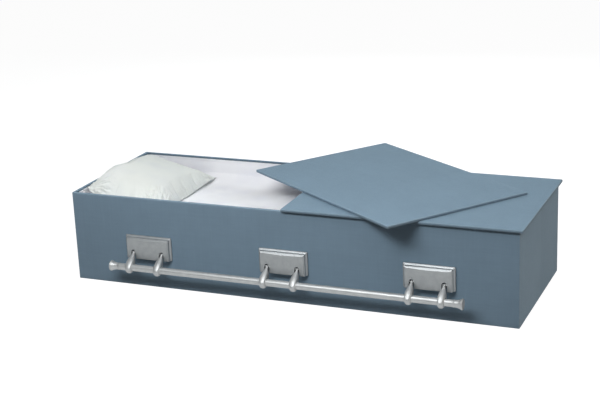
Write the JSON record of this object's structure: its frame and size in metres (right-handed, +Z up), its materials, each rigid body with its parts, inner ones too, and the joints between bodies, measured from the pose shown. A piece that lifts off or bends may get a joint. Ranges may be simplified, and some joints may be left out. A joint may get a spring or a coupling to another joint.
{
  "type": "cloth-covered casket",
  "caption": "Blue-grey cloth-covered casket with lift-off lid panels, white lining, bed and pillow, and a silver swing bar handle along each long side.",
  "frame": {"origin": "middle of the box's underside", "axes": "+X along the length to the foot end, +Z up, -Y to the near long side"},
  "size_m": [2.044, 1.1826, 0.4707],
  "materials": {
    "cover_cloth": "matt woven cloth",
    "lining_cloth": "smooth white lining cloth",
    "pillow_cloth": "soft off-white cloth",
    "satin_silver": "satin silver"
  },
  "bodies": {
    "root": {"floor_board": "cover_cloth", "near_side_board": "cover_cloth", "far_side_board": "cover_cloth", "head_end_board": "cover_cloth", "foot_end_board": "cover_cloth", "foot_lid_panel": "cover_cloth", "head_lid_panel": "cover_cloth", "wall_lining": "lining_cloth", "mattress": "lining_cloth", "pillow": "pillow_cloth", "near_head_plate": "satin_silver", "near_middle_plate": "satin_silver", "near_foot_plate": "satin_silver", "far_head_plate": "satin_silver", "far_middle_plate": "satin_silver", "far_foot_plate": "satin_silver"},
    "near_swing_bar": {"near_head_arm_1": "satin_silver", "near_head_arm_2": "satin_silver", "near_middle_arm_1": "satin_silver", "near_middle_arm_2": "satin_silver", "near_foot_arm_1": "satin_silver", "near_foot_arm_2": "satin_silver", "near_bar": "satin_silver", "near_bar_tip_head": "satin_silver", "near_bar_tip_foot": "satin_silver"},
    "far_swing_bar": {"far_head_arm_1": "satin_silver", "far_head_arm_2": "satin_silver", "far_middle_arm_1": "satin_silver", "far_middle_arm_2": "satin_silver", "far_foot_arm_1": "satin_silver", "far_foot_arm_2": "satin_silver", "far_bar": "satin_silver", "far_bar_tip_head": "satin_silver", "far_bar_tip_foot": "satin_silver"}
  },
  "joints": [
    {"name": "near_bar_swing", "type": "hinge", "parent": "root", "child": "near_swing_bar", "pos_m": [0, -0.3629, 0.162], "axis": [-1, 0, 0], "range_deg": [0, 60]},
    {"name": "far_bar_swing", "type": "hinge", "parent": "root", "child": "far_swing_bar", "pos_m": [0, 0.3629, 0.162], "axis": [1, 0, 0], "range_deg": [0, 60]}
  ]
}
